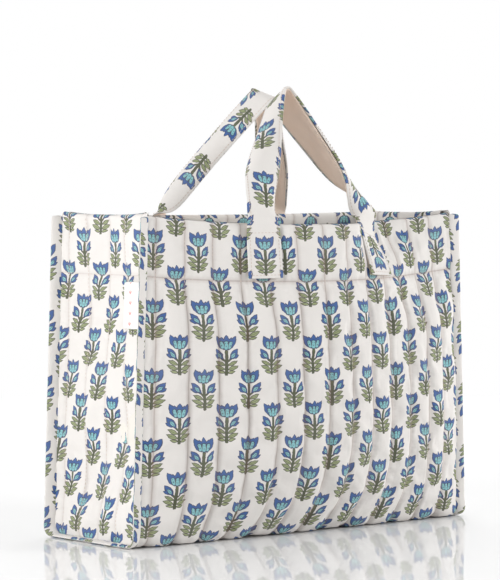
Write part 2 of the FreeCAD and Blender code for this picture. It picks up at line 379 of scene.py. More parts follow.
# Each leaf or petal runs from one point to another and is widest in its middle, in millimetres
# from the middle of the flower. The flower is the same on both sides of its stem.
PETALS = [((0, 6), (0, 18.6), 3.0), ((2.0, 4.8), (9.0, 17.6), 3.3), ((1.4, 5), (4.6, 16.4), 2.6)]
LOBES = [((0, 7.0), (0, 11.0), 2.3), ((3.1, 7.4), (4.4, 11.2), 2.0)]
BUDS = [((2.6, -3.8), (11.2, 6.0), 2.9), ((5.2, -3.0), (12.0, 0.8), 1.7)]
BUD_HEARTS = [((3.8, -2.6), (8.8, 2.6), 2.0)]
LEAVES = [((0.8, -9.4), (10.2, -4.8), 1.9), ((0.8, -13.2), (11.2, -9.2), 2.1),
          ((0.6, -15.8), (8.4, -14.2), 1.5)]
STEMS = [((0, 4), (0, -17.0), 1.5), ((0.5, -6.2), (3.8, -3.2), 0.9)]
VEINS = [((0.4, 2), (0.4, -17.0), 0.3), ((2.5, -8.5), (8.4, -5.8), 0.2),
         ((2.5, -12.5), (9, -10.1), 0.2), ((1.9, 7.4), (2.3, 12.8), 0.25)]
DOTS = [((0, 8.0), (0, 8.2), 0.45), ((0.9, 10.6), (1.0, 10.8), 0.4), ((3.8, 8.6), (3.9, 8.8), 0.5),
        ((4.7, 11.0), (4.8, 11.2), 0.35), ((5.2, -1.2), (7.6, 1.2), 0.25)]
REPEAT_X = 46.2
REPEAT_Y = 61.0
# Middle of one flower on the front panel, from the middle of its top edge.
FIRST_X = -8.1
FIRST_Y = -30.6
INK_BLUE = srgb(0, 82, 156)
INK_NAVY = srgb(14, 38, 84)
INK_AQUA = srgb(130, 196, 202)
INK_OLIVE = srgb(50, 58, 32)
INK_STEM = srgb(84, 94, 54)
INK_LEAF = srgb(150, 162, 112)
OUTLINE = 0.68             # width of the dark outline round each shape
SOFT_EDGE = 0.3            # blur of the printed edges
WANDER = 1.6               # how far the hand-printed shapes wander
COTTON = srgb(238, 234, 230)
# Colour of the painted shade along the rows of sewing.
PAINTED_SHADE_COLOUR = srgb(140, 114, 104)
CORAL = srgb(226, 110, 96)


def leaf_distance(g, x, y, leaf, straight=False):
    """Distance from a leaf's outline, negative inside it; a straight one keeps its width."""
    (ax, ay), (bx, by), width = leaf
    dx, dy = bx - ax, by - ay
    length2 = dx * dx + dy * dy
    px = g.math("SUBTRACT", x, ax)
    py = g.math("SUBTRACT", y, ay)
    along = g.math("MULTIPLY_ADD", px, dx / length2, g.math("MULTIPLY", py, dy / length2))
    t = g.clamp01(along)
    qx = g.math("MULTIPLY_ADD", t, -dx, px)
    qy = g.math("MULTIPLY_ADD", t, -dy, py)
    far = g.math("SQRT", g.math("MULTIPLY_ADD", qx, qx, g.math("MULTIPLY", qy, qy)))
    if straight:
        return g.math("SUBTRACT", far, width)
    belly = g.math("MULTIPLY", g.math("MULTIPLY", t, 4 * width), g.math("SUBTRACT", 1.0, t))
    return g.math("SUBTRACT", far, belly)


def nearest(g, x, y, leaves, straight=False):
    """Distance from the nearest of several leaves."""
    best = leaf_distance(g, x, y, leaves[0], straight)
    for leaf in leaves[1:]:
        best = g.math("MINIMUM", best, leaf_distance(g, x, y, leaf, straight))
    return best


def wrapped(g, value, period, offset):
    """Place within a repeat, from minus half a period to half a period."""
    shifted = g.math("ADD", value, -offset)
    turns = g.math("ROUND", g.math("DIVIDE", shifted, period))
    return g.math("MULTIPLY_ADD", turns, -period, shifted)


def block_print(g, where, x, y, lean):
    """Colour of the block-printed flower repeat; below the hem it leans by `lean`."""
    wobble = g.node("ShaderNodeTexNoise", {"Vector": where, "Scale": 0.35, "Detail": 2.0})
    shift = g.node("ShaderNodeSeparateXYZ", {0: wobble.outputs["Color"]})
    x = g.math("MULTIPLY_ADD", g.math("ADD", shift.outputs[0], -0.5), WANDER, x)
    y = g.math("MULTIPLY_ADD", g.math("ADD", shift.outputs[1], -0.5), WANDER, y)
    if lean:
        below_hem = g.math("MINIMUM", g.math("ADD", y, HEM), 0.0)
        x = g.math("MULTIPLY_ADD", below_hem, -lean, x)
    xa = wrapped(g, x, REPEAT_X, FIRST_X)
    ya = wrapped(g, y, REPEAT_Y, FIRST_Y)
    xb = wrapped(g, x, REPEAT_X, FIRST_X + REPEAT_X / 2)
    yb = wrapped(g, y, REPEAT_Y, FIRST_Y + REPEAT_Y / 2)
    # The flower of the first lattice owns a middle band, a wide top and a narrow foot.
    high = g.math("GREATER_THAN", ya, 0.0)
    reach = g.blend(high, 9.4, 13.6)
    near = g.math("LESS_THAN", g.math("ABSOLUTE", ya), 12.4)
    wing = g.math("MULTIPLY", g.math("LESS_THAN", g.math("ABSOLUTE", ya), 18.7),
                  g.math("LESS_THAN", g.math("ABSOLUTE", xa), reach))
    first = g.math("MAXIMUM", near, wing)
    fx = g.math("ABSOLUTE", g.blend(first, xb, xa))
    fy = g.blend(first, yb, ya)
    colour = COTTON
    worn = g.clamp01(g.math("MULTIPLY_ADD", g.noise(where, 1.3, 3.0, 0.7), 0.14, 0.93))
    layers = [(STEMS, True, INK_STEM, INK_OLIVE), (LEAVES, False, INK_LEAF, INK_OLIVE),
              (PETALS, False, INK_BLUE, INK_NAVY), (BUDS, False, INK_BLUE, INK_NAVY),
              (BUD_HEARTS, False, INK_AQUA, INK_NAVY), (LOBES, True, INK_AQUA, INK_NAVY)]
    for leaves, straight, fill, edge in layers:
        distance = nearest(g, fx, fy, leaves, straight)
        inked = g.math("MULTIPLY", g.inside(distance, SOFT_EDGE), worn)
        core = g.inside(g.math("ADD", distance, OUTLINE), 0.4)
        colour = g.mix(inked, colour, g.mix(core, edge, fill))
    for marks, ink in ((VEINS, INK_OLIVE), (DOTS, INK_NAVY)):
        drawn = g.inside(nearest(g, fx, fy, marks, True), SOFT_EDGE)
        colour = g.mix(g.math("MULTIPLY", drawn, 0.75), colour, ink)
    return colour


def weave_height(g, x, y, pitch):
    """Plain weave: threads over and under each other."""
    warp = g.math("SINE", g.math("MULTIPLY", x, 2 * math.pi / pitch))
    weft = g.math("SINE", g.math("MULTIPLY", y, 2 * math.pi / pitch))
    return g.math("MULTIPLY_ADD", g.math("MULTIPLY", warp, weft), 0.5, 0.5)


def cotton_material(name, printed, tint, painted_shade_strength=0.0, lean=0.0):
    """Plain-weave cotton; painted_shade_strength is how dark the painted shade along its rows of
    sewing is.
    """
    g = Graph(name)
    where, x, y = g.cloth_xy()
    colour = block_print(g, where, x, y, lean) if printed else tint
    patchy = g.noise(where, 0.018, 3.0, 0.6)
    darker = tuple(c * 0.86 for c in tint[:3]) + (1.0,)
    colour = g.mix(g.math("MULTIPLY", patchy, 0.22), colour, darker)
    slub = g.noise(where, 2.2, 2.0, 0.6)
    colour = g.mix(g.math("MULTIPLY", slub, 0.07), colour, srgb(150, 140, 128))
    height = g.math("MULTIPLY_ADD", weave_height(g, x, y, 0.7), 0.35, g.math("MULTIPLY", slub, 0.5))
    crumple = g.noise(where, 0.16, 3.0, 0.55)
    height = g.math("MULTIPLY_ADD", crumple, 2.2, height)
    if painted_shade_strength:
        # Painted shade: the colour is darkened along each row of stitches, where the sewn crease
        # lies in shade.
        line = g.math("MULTIPLY_ADD", x, 1 / QUILT_STEP, 0.5 - FIRST_LINE / QUILT_STEP)
        across = g.math("ABSOLUTE", g.math("ADD", g.math("FRACT", line), -0.5))
        across = g.math("MULTIPLY", across, QUILT_STEP)
        row = g.math("ABSOLUTE", g.math("ADD", y, HEM))
        nearest_row = g.math("MINIMUM", across, row)
        narrow = g.math("MULTIPLY", g.inside(g.math("ADD", nearest_row, -0.6), 1.2), 0.6)
        wide = g.math("MULTIPLY", g.inside(g.math("ADD", nearest_row, -1.4), 5.0), 0.34)
        shade_mask = g.math("MAXIMUM", narrow, wide)
        colour = g.mix(g.math("MULTIPLY", shade_mask, painted_shade_strength), colour, PAINTED_SHADE_COLOUR)
        # Small gathers stand across each row of stitches and die away beside it.
        for distance, half_reach, blur, spread, scale in (
            (across, 3.0, 9.0, (0.25, 1.0, 0.0), 0.17),
            (row, 5.0, 18.0, (1.0, 0.15, 0.0), 0.21),
        ):
            drawn = g.node("ShaderNodeVectorMath", {0: where, 1: spread},
                           operation="MULTIPLY").outputs[0]
            gathers = g.noise(drawn, scale, 1.0, 0.5)
            fade = g.inside(g.math("ADD", distance, -half_reach), blur)
            height = g.math("MULTIPLY_ADD", g.math("MULTIPLY", gathers, fade), 11.0, height)
    return g.finish(colour, height, 0.22, 0.88, 0.06)


def webbing_material():
    """Beige herringbone twill."""
    g = Graph("twill_webbing")
    where, x, y = g.cloth_xy()
    zigzag = g.math("PINGPONG", x, 4.0)
    rib = g.math("FRACT", g.math("MULTIPLY", g.math("ADD", y, zigzag), 1 / 1.3))
    rib = g.math("PINGPONG", rib, 0.5)
    cross = g.math("PINGPONG", g.math("MULTIPLY", x, 1 / 0.45), 0.5)
    colour = g.mix(g.math("MULTIPLY", rib, 2.0), srgb(250, 222, 202), srgb(255, 244, 232))
    patchy = g.noise(where, 0.05, 3.0, 0.6)
    colour = g.mix(g.math("MULTIPLY", patchy, 0.25), colour, srgb(250, 224, 204))
    height = g.math("MULTIPLY_ADD", cross, 0.5, rib)
    height = g.math("MULTIPLY_ADD", g.noise(where, 1.5, 2.0), 0.4, height)
    return g.finish(colour, height, 0.35, 0.8, 0.3)


def thread_material():
    """Twisted off-white sewing thread."""
    g = Graph("sewing_thread")
    place = g.node("ShaderNodeNewGeometry").outputs["Position"]
    twist = g.noise(place, 2500.0, 2.0)
    colour = g.mix(twist, srgb(196, 176, 166), srgb(232, 220, 210))
    return g.finish(colour, twist, 0.08, 0.6, 0.2)


def label_material():
    """White woven satin with rows of small coral sprigs."""
    g = Graph("woven_label")
    where, x, y = g.cloth_xy()
    fx = g.math("ABSOLUTE", wrapped(g, x, 7.0, 3.2))
    fy = wrapped(g, y, 9.5, 5.0)
    sprig = nearest(g, fx, fy, [((0.3, -1.6), (2.0, 1.4), 0.35), ((0, -2.6), (0, 2.4), 0.3)])
    from_middle = g.math("ABSOLUTE", g.math("ADD", x, -9.0))
    inked = g.math("MULTIPLY", g.inside(sprig, SOFT_EDGE), g.math("LESS_THAN", from_middle, 4.0))
    colour = g.mix(inked, srgb(244, 242, 240), CORAL)
    rib = g.math("PINGPONG", g.math("MULTIPLY", y, 1 / 0.35), 0.5)
    return g.finish(colour, g.math("ADD", rib, g.noise(where, 3.0)), 0.1, 0.45, 0.3)


# The fourth number is how dark the painted shade along the rows of sewing is.
PRINT = cotton_material("print_cotton", True, COTTON, 0.95)
GUSSET = cotton_material("gusset_cotton", True, COTTON, 0.4, -0.2)
STRAP = cotton_material("strap_cotton", True, COTTON)
BINDING = cotton_material("binding_cotton", True, COTTON)
LINING = cotton_material("lining_cotton", False, srgb(240, 236, 228), 0.25)
WEBBING = webbing_material()
THREAD = thread_material()
LABEL = label_material()


# ---- shape of the bag ---------------------------------------------------------------------
BULGE = {
    "front": [rounded(MIDDLE), rounded(AT_HEM), rounded(AT_TOP, 0.025)],
    "back": [rounded(BACK_MIDDLE), rounded(BACK_HEM), rounded(BACK_TOP)],
}
SIGN = {"front": -1.0, "back": 1.0}


def half_width(z):
    """Half the bag's width between its seams."""
    return HALF_BASE + (HALF_TOP - HALF_BASE) * z / HEIGHT


def bulge(side, s, z):
    """How far a panel stands out of the plane of its seams, s being -1 at the left seam."""
    middle, hem, top = (f(s) for f in BULGE[side])
    low = 1 - (1 - np.clip(z, 0, FULL_BULGE_LOW) / FULL_BULGE_LOW) ** LOW_BULGE_POWER
    under_hem = smooth((z - FULL_BULGE_HIGH) / (HEM_Z - FULL_BULGE_HIGH))
    over_hem = smooth((z - HEM_Z) / HEM)
    at = middle * low
    at = at + (hem - at) * under_hem
    return at + (top - at) * over_hem


def panel_point(side, s, z, inward=0.0):
    """Point of a panel's smooth outer surface; z is measured along the unsagged panel."""
    s, z = np.broadcast_arrays(np.asarray(s, float), np.asarray(z, float))
    drift = DRIFT[side] * (1 - s**4) * smooth(z / DRIFT_TOP)
    drift = drift * (1 - smooth((z - DRIFT_TOP) / (HEM_Z - DRIFT_TOP)))
    roll = np.clip(BASE_ROLL - z, 0, BASE_ROLL)
    depth = HALF_DEPTH - BASE_ROLL + np.sqrt(np.maximum(BASE_ROLL**2 - roll**2, 0))
    y = SIGN[side] * (depth + bulge(side, s, z) - inward)
    sag = SAG[side] * (1 - np.abs(s) ** 2.5) * np.clip(z / HEIGHT, 0, 1) ** 1.2
    return np.stack([s * half_width(z) + drift, y, z - sag], axis=-1)


def panel_frame(side, s, z):
    """Unit vectors of the panel's surface there: to the right, up and outwards."""
    right = unit(panel_point(side, s + 0.01, z) - panel_point(side, s - 0.01, z))
    up = unit(panel_point(side, s, z + 1) - panel_point(side, s, z - 1))
    out = unit(np.cross(right, up) if side == "front" else np.cross(up, right))
    return right, up, out


def channel(u):
    """0 on the quilting lines and at the seams, 1 in the middle of a channel."""
    lines = np.append(FIRST_LINE + QUILT_STEP * np.arange(13), FLAT_HALF)
    lines = np.insert(lines, 0, -FLAT_HALF)
    place = np.clip(np.searchsorted(lines, u + 1e-6) - 1, 0, len(lines) - 2)
    low, high = lines[place], lines[place + 1]
    share = np.clip((u - low) / (high - low), 0, 1)
    full = (high - low) / QUILT_STEP
    return (4 * share * (1 - share)) ** 0.42 * np.minimum(full, 1.0)


def on_line(u):
    """True on the quilting lines."""
    share = (u - FIRST_LINE) / QUILT_STEP
    return (np.abs(share - np.round(share)) * QUILT_STEP < 0.4) & (np.abs(u) < FLAT_HALF - 5)


def hem_groove(z):
    """0 on the hem's sewing line, 1 away from it."""
    return 1 - np.exp(-((z - HEM_Z) / 4.5) ** 2)


def fold_rows(turn):
    """(z, depth inwards) of the rows round the folded top edge; turn is 1 outside, -1 inside."""
    rows = []
    for degrees in (0, 30, 60):
        a = math.radians(degrees)
        rows.append((HEIGHT - FOLD * (1 - math.cos(a)), FOLD * (1 - turn * math.sin(a))))
    return rows


def leg_x(side, leg):
    """Middle of a sewn strap end; the back handle is the front one turned half round."""
    if side == "front":
        return LEFT_LEG_X if leg < 0 else RIGHT_LEG_X
    return -RIGHT_LEG_X if leg < 0 else -LEFT_LEG_X


def under_strap(side, x, z):
    """1 where a sewn strap end presses on the panel, fading to 0 round it."""
    total = np.zeros(np.broadcast(x, z).shape)
    for leg in (-1, 1):
        across = smooth((STRAP_WIDTH / 2 + 5 - np.abs(x - leg_x(side, leg))) / 6)
        total = np.maximum(total, across * smooth((z - END_LOW + 5) / 6))
    return total


def strip_rows():
    """(z along the panel, depth inwards, y on the base) of each row of half the body strip."""
    rows = [(z, inward, None) for z, inward in fold_rows(1)]
    top, low = HEIGHT - FOLD, BASE_ROLL
    count = int(round((top - low) / ROW))
    # One row falls on the hem's sewing line.
    upper = int(round((top - HEM_Z) / ROW))
    for z in np.linspace(top, HEM_Z, upper, endpoint=False):
        rows.append((z, 0.0, None))
    for z in np.linspace(HEM_Z, low, count - upper, endpoint=False):
        rows.append((z, 0.0, None))
    for degrees in (0, 22.5, 45, 67.5):
        rows.append((low - BASE_ROLL * math.sin(math.radians(degrees)), 0.0, None))
    edge = HALF_DEPTH - BASE_ROLL
    for share in np.linspace(0, 1, int(round(edge / ROW)) + 1):
        rows.append((0.0, 0.0, edge * (1 - share)))
    return rows


def strip_points(s):
    """The front-base-back strip's smooth points, and (side, z, y on the base) of each row."""
    points, tags = [], []
    for side in ("front", "back"):
        half = []
        for z, inward, base_y in strip_rows():
            p = panel_point(side, s, z, inward)
            if base_y is not None:
                p[:, 1] = SIGN[side] * base_y
                p[:, 2] = 0.0
            half.append((p, side, z, base_y))
        if side == "back":
            half = half[-2::-1]
        points += [h[0] for h in half]
        tags += [h[1:] for h in half]
    return np.array(points), tags


def body_grid():
    """The quilted strip: points, flat (u, v) seen from the front and from the back, hold weights,
    the row where the back begins, (side, z, y on the base) of each row, and u."""
    u = np.arange(-FLAT_HALF, FLAT_HALF + 0.1, COLUMN)
    s = u / FLAT_HALF
    p, tags = strip_points(s)
    normals = grid_normals(p)
    fall = run_along(p[:, len(u) // 2])
    z = np.array([t[1] for t in tags])[:, None]
    is_base = np.array([t[2] is not None for t in tags])[:, None]
    hem = np.abs(z - HEM_Z) < 0.1
    puff = channel(u)[None, :] * np.ones_like(z)
    in_hem = smooth((z - HEM_Z + 2) / 6)
    puff = puff * (1 - 0.45 * in_hem)
    puff = puff * np.where(is_base, 1.0, hem_groove(z))
    press = np.zeros(p.shape[:2])
    for i, (side, zz, base_y) in enumerate(tags):
        if base_y is None:
            press[i] = under_strap(side, s * half_width(zz), zz)
    seam = smooth((FLAT_HALF - np.abs(u)) / SEAM_REACH)[None, :]
    top_edge = smooth((HEIGHT - z) / TOP_REACH)
    deep = seam * (0.35 + 0.65 * top_edge)
    rise = puff * LINE_DEPTH * top_edge * (1 - press)
    offset = np.where(is_base, rise - BASE_SINK, rise - deep * (1 - 0.3 * press))
    wander = 0.35 * ripple(u[None, :], fall[:, None], 5, 60) * seam * top_edge
    # The turned-in hem is gathered a little along its row of sewing.
    gather = np.exp(-np.maximum(HEM_Z - z, 0) / 9) * np.exp(-np.maximum(z - HEM_Z - 25, 0) / 14)
    folds = ripple(u[None, :], 0.12 * z, 6, 15) * (np.abs(z - HEM_Z) > 1) * (z > 40)
    wander = wander + 0.55 * folds * gather * seam * (1 - press)
    p = p + normals * (offset + wander)[..., None]
    p[..., 2] = np.maximum(p[..., 2], GROUND)
    held = np.where(on_line(u)[None, :] | hem, 1.0, 0.0)
    held = np.maximum(held, np.where(z > HEIGHT - FOLD - 1, 1.0, 0.0))
    held = np.maximum(held, (np.abs(u) > FLAT_HALF - 1)[None, :])
    held = np.maximum(held, np.where(press > 0.6, 1.0, 0.0))
    middle = len(tags) // 2
    back_fall = fall[-1] - fall
    uv = np.zeros(p.shape[:2] + (2, 2))
    uv[..., 0, 0] = u
    uv[..., 0, 1] = -fall[:, None]
    uv[..., 1, 0] = -u
    uv[..., 1, 1] = -back_fall[:, None]
    return p, uv, held, middle, tags, u


def body_cover():
    """The quilted strip: front, base and back."""
    p, uv, held, middle, tags, u = body_grid()
    rows, columns = p.shape[:2]
    faces = grid_faces(rows, columns)
    uvs = []
    for f in faces:
        which = 0 if f[0] // columns < middle else 1
        uvs += [uv[i // columns, i % columns, which] for i in f]
    piece = make_mesh("body_quilt", p.reshape(-1, 3), faces, uvs, PRINT, "bag")
    p = blow_up(piece, held.ravel(), pressure=4.5, spare=0.022, most=4.5).reshape(p.shape)
    p[..., 2] = np.maximum(p[..., 2], GROUND)
    piece.data.vertices.foreach_set("co", (p * MM).ravel())
    subdivide(piece)
    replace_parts(piece, "body_cover", "body_wadding")
    return p, tags, u


def gusset_hollow(c, z):
    """How far a gusset is drawn in; c runs across it from -1 to 1."""
    return GUSSET_HOLLOW * (1 - c**2) * smooth(z / 60) * (1 - 0.6 * smooth((z - 200) / 90))


def gusset_peak(c, z):
    """How far the corners of a gusset's top stand up."""
    return 2.5 * np.abs(c) ** 3 * smooth((z - 200) / 100)


def gusset_grid(side):
    """Points, flat (u, v) and hold weights of a gusset; side is -1 on the left, 1 on the right."""
    u = np.arange(-GUSSET_HALF, GUSSET_HALF + 0.1, COLUMN * 1.05)
    u = u * GUSSET_HALF / u[-1]
    c = u / GUSSET_HALF
    # The first rows stand at 0, 30 and 60 degrees round the folded top edge.
    zs = [HEIGHT, HEIGHT - FOLD * 0.134, HEIGHT - FOLD * 0.5]
    top = HEIGHT - FOLD
    upper = int(round((top - HEM_Z) / ROW))
    zs += list(np.linspace(top, HEM_Z, upper, endpoint=False))
    zs += list(np.linspace(HEM_Z, 2.0, int(round(HEM_Z / ROW)) + 1))
    z = np.array(zs)[:, None]
    inward = np.zeros_like(z)
    inward[:3, 0] = FOLD, FOLD * 0.5, FOLD * 0.134
    roll = np.clip(BASE_ROLL - z, 0, BASE_ROLL)
    depth = HALF_DEPTH - BASE_ROLL + np.sqrt(BASE_ROLL**2 - roll**2)
    y = c[None, :] * depth
    hollow = gusset_hollow(c, z)
    wave = 2.6 * ripple(u[None, :], z, 11 + side, 80) * (1 - c[None, :] ** 4) * smooth(z / 25)
    x = half_width(z) - hollow + wave - inward
    p = np.stack([side * x, y * np.ones_like(z), z * np.ones_like(y)], axis=-1)
    p[..., 2] += gusset_peak(c, z)
    share = (u - GUSSET_LINES[0]) / QUILT_STEP
    line = np.abs(share - np.round(share)) * QUILT_STEP < 2.0
    near = np.abs(share - np.round(share)) * 2
    puff = np.minimum(near * 2, 1.0) ** 0.8 * hem_groove(z)
    seam = smooth((GUSSET_HALF - np.abs(u)) / SEAM_REACH)[None, :]
    top_edge = smooth((HEIGHT - z) / TOP_REACH)
    offset = (puff * 0.7 - 1.0) * 2.6 * seam * top_edge
    p[..., 0] += side * offset
    hem = np.abs(z - HEM_Z) < 0.1
    held = np.where(line[None, :] | hem | (np.abs(u) > GUSSET_HALF - 1)[None, :], 1.0, 0.0)
    held = np.maximum(held, np.where((z > HEIGHT - FOLD - 1) | (z < 3), 1.0, 0.0))
    uv = np.stack(np.broadcast_arrays(u[None, :] + GUSSET_PRINT, z - HEIGHT), axis=-1)
    return p, uv, held


def gusset_cover(side):
    """The quilted outside of a gusset; gives back its points."""
    word = SIDE_WORD[side]
    p, uv, held = gusset_grid(side)
    piece = grid_piece(word + "_gusset_quilt", p, uv, GUSSET, "bag", flip=side < 0)
    p = blow_up(piece, held.ravel(), pressure=3.0, spare=0.03, most=4.0).reshape(p.shape)
    subdivide(piece)
    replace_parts(piece, word + "_gusset_cover", word + "_gusset_wadding")
    return p


def inner_layers(low):
    """Name, (z, depth inwards) of each row, material and slot of a turned-in hem and of the
    lining under it, which ends at the height `low`."""
    facing = np.linspace(HEIGHT - FOLD, HEM_Z - FACING_PAST_HEM, 15)
    lining = np.linspace(HEM_Z + 6, low, 48)
    return (("facing", fold_rows(-1) + [(z, WALL) for z in facing], PRINT, "print_cotton"),
            ("lining", [(z, LINING_GAP) for z in lining], LINING, "lining"))


def inner_panel(side):
    """The turned-in hem and the lining of the front or the back."""
    u = np.arange(-FLAT_HALF + 8, FLAT_HALF - 7.9, QUILT_STEP / 6)
    s = u / FLAT_HALF
    puff = channel(u)[None, :]
    measured = 30          # column down which the drop is measured
    for name, places, cloth, slot in inner_layers(WALL + 4):
        p = np.array([panel_point(side, s, z, inward) for z, inward in places])
        z = p[..., 2]
        swell = (1 - puff) * 0.9 * smooth((HEIGHT - 6 - z) / 12)
        swell += 0.5 * ripple(u[None, :], z, 21 if side == "front" else 22, 45)
        p[..., 1] += SIGN[side] * np.maximum(swell, -0.6) * smooth((HEIGHT - 4 - z) / 8)
        fall = run_along(p[:, measured])
        turned = u if side == "front" else -u
        uv = np.stack(np.broadcast_arrays(turned[None, :], fall[:, None]), axis=-1)
        piece = grid_piece(side + "_" + name, p, uv, cloth, "bag", flip=True)
        if name == "lining" and side == "front":
            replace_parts(piece, "body_lining")


def inner_gusset(side):
    """The turned-in hem and the lining of a gusset."""
    word = SIDE_WORD[side]
    c = np.linspace(-1, 1, 29)
    for name, places, cloth, slot in inner_layers(WALL + 2):
        places = np.array(places)
        z = places[:, :1]
        y = c * (HALF_DEPTH - WALL + 0.6)
        wave = 0.5 * ripple(y, z, 31 + side, 45) * smooth((HEIGHT - 4 - z) / 8)
        x = half_width(z) - gusset_hollow(c, z) - wave - places[:, 1:]
        p = np.stack([side * x, y * np.ones_like(z), z * np.ones_like(y)], axis=-1)
        p[..., 2] += gusset_peak(c, z)
        uv = np.stack(np.broadcast_arrays(side * y + GUSSET_PRINT, HEIGHT - z), axis=-1)
        piece = grid_piece(word + "_gusset_" + name, p, uv, cloth, "bag", flip=side > 0)
        if name == "lining":
            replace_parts(piece, word + "_gusset_lining")


def base_lining():
    """The plain cloth that lies on the base inside."""
    x = np.linspace(-HALF_BASE + WALL, HALF_BASE - WALL, 80)
    y = np.linspace(-HALF_DEPTH + WALL, HALF_DEPTH - WALL, 27)
    grid_x, grid_y = np.meshgrid(x, y)
    edge = 1 - smooth((HALF_DEPTH - WALL - np.abs(grid_y)) / 9)
    z = WALL + 1.2 * channel(grid_x * FLAT_HALF / HALF_BASE) + 0.4 * ripple(grid_x, grid_y, 41, 50)
    p = np.stack([grid_x, grid_y, z + 4.5 * edge], axis=-1)
    uv = np.stack([grid_x, grid_y], axis=-1)
    piece = grid_piece("base_lining", p, uv, LINING, "bag", flip=True)


# ---- bound seams --------------------------------------------------------------------------
def seam_binding(side):
    """The bound seam round a gusset: down the front corner, along the ground, up the back."""
    word = SIDE_WORD[side]
    corner_out = unit(np.array([side * 1.0, -0.3, 0.0]))
    ground_out = np.array([side * 1.0, 0.0, 0.0])
    path, outs = [], []
    for z in np.arange(HEIGHT - 1.0, 14.0, -4.0):
        path.append((side * half_width(z), -HALF_DEPTH, z))
        outs.append(corner_out)
    for degrees in np.arange(0, 91, 15):
        a = math.radians(degrees)
        path.append((side * (HALF_BASE + 0.5 * math.sin(a)),
                     -HALF_DEPTH + 11 * (1 - math.cos(a)), 13 - 11.2 * math.sin(a)))
        low = np.array([side * 1.0, -0.75, -0.25]) * math.sin(2 * a)
        outs.append(unit(corner_out * (1 - degrees / 90) + ground_out * degrees / 90 + low))
    for y in np.arange(-HALF_DEPTH + 15, 0.1, 4.0):
        path.append((side * (HALF_BASE + 0.5), y, 1.8))
        outs.append(ground_out)
    path, outs = np.array(path), np.array(outs)
    mirror = np.array([1, -1, 1])
    path = np.concatenate([path, (path * mirror)[::-1]])
    outs = np.concatenate([outs, (outs * mirror)[::-1]])
    along = unit(np.gradient(path, axis=0))
    across = unit(np.cross(along, outs))
    run = run_along(path)
    sway = 0.5 * ripple(run, run * 0, 51 + side, 34)
    swell = 1 + 0.12 * ripple(run, run * 0, 61 + side, 16)
    near = -2.0            # from inside the seam to the binding's free edge
    far = 10.0
    count = 14             # points round the binding's section
    rings, uvs = [], []
    for i in range(len(path)):
        ring, ring_uv = [], []
        on_ground = smooth((16 - path[i][2]) / 10)
        for k in range(count):
            a = 2 * math.pi * k / count
            outward = math.copysign(abs(math.cos(a)) ** 0.7, math.cos(a))
            reach = (near + far) / 2 + (far - near) / 2 * outward
            thick = 1.7 * swell[i] * math.copysign(abs(math.sin(a)) ** 0.8, math.sin(a))
            thick *= 1 - 0.25 * smooth((reach - 5) / 5)
            bend = sway[i] * smooth((reach - 1) / 8) * (1 - on_ground)
            ring.append(path[i] + outs[i] * reach + across[i] * (thick + bend))
            ring_uv.append((run[i], reach + (0 if math.sin(a) >= 0 else 24)))
        rings.append(ring)
        uvs.append(ring_uv)
    rings = np.array(rings)
    rings[..., 2] = np.maximum(rings[..., 2], 0.05)
    uvs = np.array(uvs)[..., ::-1]
    piece = tube_piece(word + "_seam_binding_cloth", rings, uvs, BINDING, "bag")
    subdivide(piece)
    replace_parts(piece, word + "_seam_binding")


# ---- stitches -----------------------------------------------------------------------------
def stitches(name, runs, kind, body="bag"):
    """Rows of separate stitches lying along polylines. A run is (points, outward vectors)."""
    length, gap, radius = kind
    verts, faces = [], []
    lift = 0.15
    around = 5
    along_steps = 4
    for points, outs in runs:
        points, outs = np.asarray(points, float), np.asarray(outs, float)
        run = run_along(points)
        count = int((run[-1] - gap) // (length + gap))
        pitch = run[-1] / max(count, 1)
        for i in range(count):
            at = i * pitch + (pitch - length) / 2 + np.linspace(0, length, along_steps + 1)
            p = np.stack([np.interp(at, run, points[:, k]) for k in range(3)], axis=1)
            out = unit(np.stack([np.interp(at, run, outs[:, k]) for k in range(3)], axis=1))
            tangent = unit(np.gradient(p, axis=0))
            side = unit(np.cross(tangent, out))
            share = np.linspace(-1, 1, along_steps + 1)
            bow = np.where(np.abs(share) > 0.99, -radius * 0.9, lift + radius * 0.25)
            thick = radius * np.where(np.abs(share) > 0.99, 0.45, 1.0)
            first = len(verts)
            for j in range(along_steps + 1):
                for k in range(around):
                    a = 2 * math.pi * k / around
                    verts.append(p[j] + out[j] * (bow[j] + thick[j] * math.sin(a))
                                 + side[j] * thick[j] * math.cos(a))
            for j in range(along_steps):
                for k in range(around):
                    m = (k + 1) % around
                    b = first + j * around
                    faces.append((b + k, b + m, b + around + m, b + around + k))
            faces.append(tuple(first + k for k in range(around - 1, -1, -1)))
            faces.append(tuple(first + along_steps * around + k for k in range(around)))
    corners = sum(len(f) for f in faces)
    piece = make_mesh(name, np.array(verts), faces, np.zeros((corners, 2)), THREAD, body)
    return piece


def surface_runs(p, tags, u):
    """Stitch runs along the quilting lines and the hem of the body strip."""
    normals = grid_normals(p)
    quilt, hem = [], []
    top = [i for i, t in enumerate(tags) if t[1] > HEIGHT - FOLD - 3]
    inside = [i for i in range(len(tags)) if i not in top]
    for c in np.flatnonzero(on_line(u)):
        quilt.append((p[inside, c], normals[inside, c]))
    for i, t in enumerate(tags):
        if abs(t[1] - HEM_Z) < 0.1:
            hem.append((p[i, 1:-1], normals[i, 1:-1]))
    return quilt, hem


def gusset_runs(p):
    """Stitch runs along the quilting lines and the hem of a gusset."""
    normals = grid_normals(p)
    if (normals[..., 0] * p[..., 0]).mean() < 0:
        normals = -normals
    u = np.linspace(-GUSSET_HALF, GUSSET_HALF, p.shape[1])
    columns = [int(np.argmin(np.abs(u - at))) for at in GUSSET_LINES]
    quilt = [(p[3:-1, c], normals[3:-1, c]) for c in columns]
    hem_row = int(np.argmin(np.abs(p[:, p.shape[1] // 2, 2] - HEM_Z)))
    return quilt, [(p[hem_row, 1:-1], normals[hem_row, 1:-1])]


